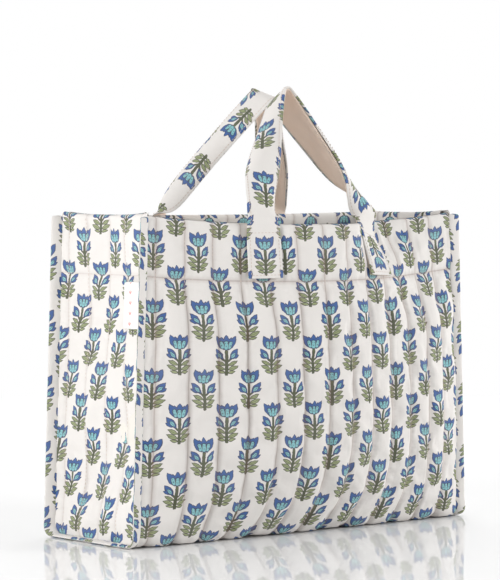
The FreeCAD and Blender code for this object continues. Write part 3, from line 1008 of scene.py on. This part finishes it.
# ---- handles ------------------------------------------------------------------------------
# Shift of the print on a strap, so that one row of flowers runs up its middle.
STRAP_PRINT = {"front": np.array([FIRST_X, FIRST_Y - 21.0]),
               "back": np.array([FIRST_X + 6.0, FIRST_Y + 108.0])}
SECTION_STEP = 3.0         # distance between a strap's sections
END_ROWS = (1, 14, -2, -15)    # sections with a row of stitches across
HINGE_SECTION = 15         # section at the height where a strap passes from the bag to its handle
LOOP = slice(18, -18)      # sections of the free loop
STITCH_FROM_MIDDLE = STRAP_WIDTH / 2 - 3.0


def soften(values, reach):
    """Rounds off a row of points by averaging each with its neighbours."""
    kernel = np.exp(-0.5 * (np.arange(-3 * reach, 3 * reach + 1) / reach) ** 2)
    kernel /= kernel.sum()
    longer = np.pad(values, ((3 * reach, 3 * reach), (0, 0)), mode="reflect", reflect_type="odd")
    return np.stack([np.convolve(longer[:, k], kernel, mode="valid") for k in range(3)], axis=1)


def bezier(a, b, c, t):
    """Curve from a to c, drawn towards b."""
    t = t[:, None]
    return (1 - t) ** 2 * a + 2 * t * (1 - t) * b + t**2 * c


def leg_line(side, leg):
    """Centres, width vectors and share of the way up one leg (negative while sewn on)."""
    x = leg_x(side, leg)
    zs = np.arange(END_LOW, HEIGHT - 1, 3.5)
    s = x / half_width(zs)
    right, _, out = panel_frame(side, s, zs)
    sewn = panel_point(side, s, zs) + out * (LAYERS / 2 - 0.3)
    foot = np.array([x, sewn[-1, 1], FREE_FROM])
    t = np.linspace(0, 1, 60)
    pull, crown = np.array(LEG_PULL[side, leg]), np.array(CROWN[side])
    free = bezier(foot, pull, crown, t)
    share = np.concatenate([np.full(len(sewn), -1.0), t])
    flat_share = FLAT_SHARE[side, leg]
    turn = 1 - (1 - np.maximum(0, (share - flat_share) / (1 - flat_share))) ** TURN_POWER[side, leg]
    flat = np.array([-leg, 0.0, 0.0])
    crossed = np.array([0.0, SIGN[side] * math.cos(LEAN[side]), math.sin(LEAN[side])])
    width = flat * (1 - turn[:, None]) + crossed * turn[:, None]
    width[:len(sewn)] = -leg * right
    return np.concatenate([sewn, free]), width, share


def handle_frames(side):
    """Centres, width vectors and print-side normals from one sewn end to the other."""
    left, left_wide, left_share = leg_line(side, -1)
    right, right_wide, right_share = leg_line(side, 1)
    line = np.concatenate([left, right[::-1][1:]])
    wide = np.concatenate([left_wide, right_wide[::-1][1:]])
    share = np.concatenate([left_share, right_share[::-1][1:]])
    run = run_along(line)
    at = np.linspace(0, run[-1], int(round(run[-1] / SECTION_STEP)) + 1)
    line = np.stack([np.interp(at, run, line[:, k]) for k in range(3)], axis=1)
    wide = np.stack([np.interp(at, run, wide[:, k]) for k in range(3)], axis=1)
    share = np.interp(at, run, share)
    loose = smooth(share / 0.5)[:, None]
    line = line * (1 - loose) + (soften(line, 2) + np.array([0, 0, 0.5])) * loose
    wide = soften(wide, 3)
    tangent = unit(np.gradient(line, axis=0))
    wide = unit(wide - tangent * (wide * tangent).sum(axis=1, keepdims=True))
    normal = -SIGN[side] * unit(np.cross(wide, tangent))
    cup = CUP[side] * smooth((share + 0.03) / 0.08) * smooth((1.1 - share) / 0.6)
    return line, wide, normal, cup, at


def band_rings(frames, width, low, high):
    """Rounded rectangular section swept along a handle, bent into a shallow arc across."""
    run = frames[4]
    half = width / 2
    r = (high - low) / 2
    edge_points = 3
    outline = []
    for q in np.linspace(-(half - r), half - r, 13):
        outline.append((q, high, q))
    for a in np.linspace(math.pi / 2, -math.pi / 2, edge_points + 2)[1:-1]:
        outline.append((half - r + r * math.cos(a), (low + high) / 2 + r * math.sin(a),
                        half + r * (math.pi / 2 - a) - r))
    for q in np.linspace(half - r, -(half - r), 9):
        outline.append((q, low, 2 * half + r - q))
    for a in np.linspace(-math.pi / 2, -3 * math.pi / 2, edge_points + 2)[1:-1]:
        outline.append((-(half - r) + r * math.cos(a), (low + high) / 2 + r * math.sin(a),
                        -half - r * (a + 3 * math.pi / 2) + r))
    outline = np.array(outline)
    rings = np.stack([surface_line(frames, width, q, n)[0] for q, n, _ in outline], axis=1)
    uvs = np.stack(np.broadcast_arrays(outline[None, :, 2], run[:, None]), axis=-1)
    return crisp_ends(rings), crisp_ends(uvs)


def crisp_ends(rows):
    """Adds a row close to each end, which keeps the ends square when the mesh is smoothed."""
    first = rows[:1] * 0.9 + rows[1:2] * 0.1
    last = rows[-1:] * 0.9 + rows[-2:-1] * 0.1
    return np.concatenate([rows[:1], first, rows[1:-1], last, rows[-1:]])


def surface_line(frames, width, q, n):
    """Polyline on a handle's face, q across it and n above its middle, with its normals."""
    line, wide, normal, cup, _ = frames
    bend = np.maximum(cup, 0.01)
    radius = (width / 2) / bend
    angle = q / radius
    across = (radius + n) * np.sin(angle)
    out = (radius + n) * np.cos(angle) - radius * (1 + np.cos(bend)) / 2
    points = line + wide * across[:, None] + normal * out[:, None]
    outs = normal * np.cos(angle)[:, None] + wide * np.sin(angle)[:, None]
    return points, outs


def sewn_strip(side, name, rings, uv, material):
    """The strap or the webbing of a handle, in one piece from sewn end to sewn end."""
    piece = tube_piece(f"{side}_{name}", rings, uv, material)
    subdivide(piece)
    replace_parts(piece, f"{side}_handle_{name}", f"{side}_left_{name}_end",
                f"{side}_right_{name}_end")
    return piece


def handle(side):
    """A handle with its sewn ends and its stitches; gives back the stitches of its ends."""
    frames = handle_frames(side)
    line, wide, normal = frames[:3]
    face = STRAP_THICK - 0.1
    rings, uv = band_rings(frames, STRAP_WIDTH, -0.1, face)
    # The flowers stand upright on the front handle's left leg and hang down on the back one's.
    uv = uv * (1, -SIGN[side]) + STRAP_PRINT[side]
    pieces = [sewn_strip(side, "strap", rings, uv, STRAP)]
    rings, uv = band_rings(frames, WEBBING_WIDTH, -WEBBING_THICK, -0.05)
    pieces.append(sewn_strip(side, "webbing", rings, uv, WEBBING))
    edges, ends, under = [], [], []
    for q in (-STITCH_FROM_MIDDLE, STITCH_FROM_MIDDLE):
        points, outs = surface_line(frames, STRAP_WIDTH, q, face)
        edges.append((points[1:-1], outs[1:-1]))
        points, outs = surface_line(frames, STRAP_WIDTH, q, -WEBBING_THICK)
        under.append((points[LOOP], -outs[LOOP]))
    across = np.linspace(-STITCH_FROM_MIDDLE, STITCH_FROM_MIDDLE, 15)
    for end in END_ROWS:
        points = [line[end] + wide[end] * q + normal[end] * face for q in across]
        ends.append((points, [normal[end]] * len(across)))
    pieces.append(stitches(side + "_strap_edge_stitches", edges, STRAP_STITCH, None))
    end_stitches = stitches(side + "_strap_end_stitches", ends, STRAP_STITCH, None)
    pieces.append(end_stitches)
    pieces.append(stitches(side + "_webbing_stitches", under, STRAP_STITCH, None))
    middle = (line[0, 0] + line[-1, 0]) / 2
    start, end = (tuple(np.array([middle, line[HINGE_SECTION, 1], z]) * MM)
                  for z in (HINGE_FROM, HINGE_TO))
    for piece in pieces:
        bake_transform(piece)
    return end_stitches


# ---- the label ----------------------------------------------------------------------------
def side_label():
    """Folded woven label caught in the left front seam; plain, with a small coral pattern."""
    low, high = cad_box("side_label")
    zs = np.linspace(low[2], high[2], 15)
    ys = np.linspace(0, 1, 11)
    width = 1.25 * (high[1] - low[1])
    thick = 0.5
    gap = 0.2              # between the label and the gusset
    clear = 0.8            # between the label and the bound seam
    rings, uvs = [], []
    for z in zs:
        x = -half_width(z)
        face, back = [], []
        for y in ys:
            lift = 0.45 * math.sin(math.pi * min(y * 0.8, 1)) + 0.2 * math.sin(z / 6)
            across = low[1] + clear + y * width
            face.append((x - gap - thick - lift, across, z))
            back.append((x - gap - lift, across, z))
        rings.append(face + back[::-1])
        # The back of the label takes its colour from a plain place on the cloth.
        uvs.append([(y * width - 5, z - low[2]) for y in ys] + [(-30, -30)] * len(ys))
    piece = tube_piece("side_label_cloth", np.array(rings), np.array(uvs), LABEL, "label")
    subdivide(piece)
    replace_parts(piece, "side_label")


# ---- light, floor and camera --------------------------------------------------------------
def area_light(name, at, aim, size, power):
    """Square white lamp at a place in metres, pointing at another."""
    light = bpy.data.lights.new(name, "AREA")
    light.shape = "SQUARE"
    light.size = size
    light.energy = power
    lamp = bpy.data.objects.new(name, light)
    bpy.context.scene.collection.objects.link(lamp)
    place(lamp, np.array(at), np.array(aim))


def place(thing, eye, target):
    """Puts a lamp or a camera at `eye`, pointing at `target`, with +Z up in its picture."""
    back = unit(eye - target)
    right = unit(np.cross([0, 0, 1], back))
    up = np.cross(back, right)
    matrix = np.eye(4)
    matrix[:3, 0], matrix[:3, 1], matrix[:3, 2], matrix[:3, 3] = right, up, back, eye
    thing.matrix_world = Matrix(matrix.tolist())


def surroundings():
    """White all round; brighter behind the bag, so that its quilting is shaded from the side."""
    world = bpy.data.worlds.new("studio")
    world.use_nodes = True
    tree = world.node_tree
    back = tree.nodes["Background"]
    back.inputs[0].default_value = (1.0, 1.0, 1.0, 1.0)
    direction = tree.nodes.new("ShaderNodeTexCoord")
    toward = tree.nodes.new("ShaderNodeVectorMath")
    toward.operation = "DOT_PRODUCT"
    toward.inputs[1].default_value = (0.45, 0.85, 0.28)
    ramp = tree.nodes.new("ShaderNodeMapRange")
    ramp.interpolation_type = "SMOOTHSTEP"
    for at, value in ((1, -0.5), (2, 0.75), (3, 0.24), (4, 1.0)):
        ramp.inputs[at].default_value = value
    tree.links.new(direction.outputs["Generated"], toward.inputs[0])
    tree.links.new(toward.outputs["Value"], ramp.inputs[0])
    tree.links.new(ramp.outputs[0], back.inputs[1])
    bpy.context.scene.world = world


def white_floor():
    """A polished white sweep; away from the bag it is lit until it meets the surroundings."""
    far = 6.0
    mesh = bpy.data.meshes.new("floor")
    corners = [(-far, -far, 0), (far, -far, 0), (far, far, 0), (-far, far, 0)]
    mesh.from_pydata(corners, [], [(0, 1, 2, 3)])
    floor = bpy.data.objects.new("floor", mesh)
    bpy.context.scene.collection.objects.link(floor)
    g = Graph("white_floor")
    position = g.node("ShaderNodeNewGeometry").outputs["Position"]
    tone = g.noise(position, 3.0)
    white = g.mix(tone, (0.94, 0.94, 0.94, 1), (0.96, 0.96, 0.96, 1))
    distance = g.node("ShaderNodeVectorMath", {0: position}, operation="LENGTH").outputs["Value"]
    glow = g.clamp01(g.math("MULTIPLY_ADD", distance, 0.9, -0.5))
    matt = g.node("ShaderNodeBsdfDiffuse", {"Color": white})
    polish = g.node("ShaderNodeBsdfGlossy", {"Color": white, "Roughness": 0.035})
    lit = g.node("ShaderNodeEmission", {"Color": (1, 1, 1, 1), "Strength": 1.0})
    near = g.node("ShaderNodeMixShader", {0: 0.44, 1: matt.outputs[0], 2: polish.outputs[0]})
    surface = g.node("ShaderNodeMixShader", {0: glow, 1: near.outputs[0], 2: lit.outputs[0]})
    g.tree.links.new(surface.outputs[0], g.output.inputs[0])
    mesh.materials.append(g.material)


def studio():
    """White surroundings, three lamps and the floor."""
    surroundings()
    area_light("key", (-1.9, -0.35, 0.7), (0, 0, 0.15), 0.8, 21)
    area_light("fill", (2.0, -1.7, 1.0), (0, 0, 0.15), 1.2, 40)
    area_light("rim", (1.2, 1.3, 1.0), (0, 0, 0.2), 1.0, 10)
    white_floor()
    view = bpy.context.scene.view_settings
    view.view_transform = "Standard"
    view.look = "None"


def photo_camera():
    """Long lens a little above the bag's middle, off its left front corner."""
    turn, tilt = math.radians(-39.77), math.radians(2.19)
    distance = 2703.8
    aim_left = 10.24
    aim_up = 76.40
    ahead = np.array([-math.sin(turn) * math.cos(tilt), math.cos(turn) * math.cos(tilt),
                      -math.sin(tilt)])
    right = np.array([math.cos(turn), math.sin(turn), 0.0])
    up = np.cross(right, ahead)
    target = np.array([0.0, 0.0, 150.0]) - aim_left * right + aim_up * up
    camera = bpy.data.cameras.new("camera")
    camera.sensor_width = 36.0
    camera.lens = 175.1
    thing = bpy.data.objects.new("camera", camera)
    bpy.context.scene.collection.objects.link(thing)
    place(thing, (target - ahead * distance) * MM, target * MM)
    bpy.context.scene.camera = thing


# ---- the whole bag ------------------------------------------------------------------------
def build():
    """Every piece of the bag, then its studio."""
    p, tags, u = body_cover()
    quilt, hem = surface_runs(p, tags, u)
    for side in (-1, 1):
        more_quilt, more_hem = gusset_runs(gusset_cover(side))
        quilt += more_quilt
        hem += more_hem
        inner_gusset(side)
        seam_binding(side)
    for side in ("front", "back"):
        inner_panel(side)
    base_lining()
    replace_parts(stitches("quilting_stitches", quilt, QUILT_STITCH), "quilting_thread")
    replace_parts(stitches("hem_stitches", hem, HEM_STITCH), "hem_stitching")
    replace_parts(handle("front"), "handle_end_stitching")
    handle("back")
    side_label()
    studio()
    photo_camera()


build()
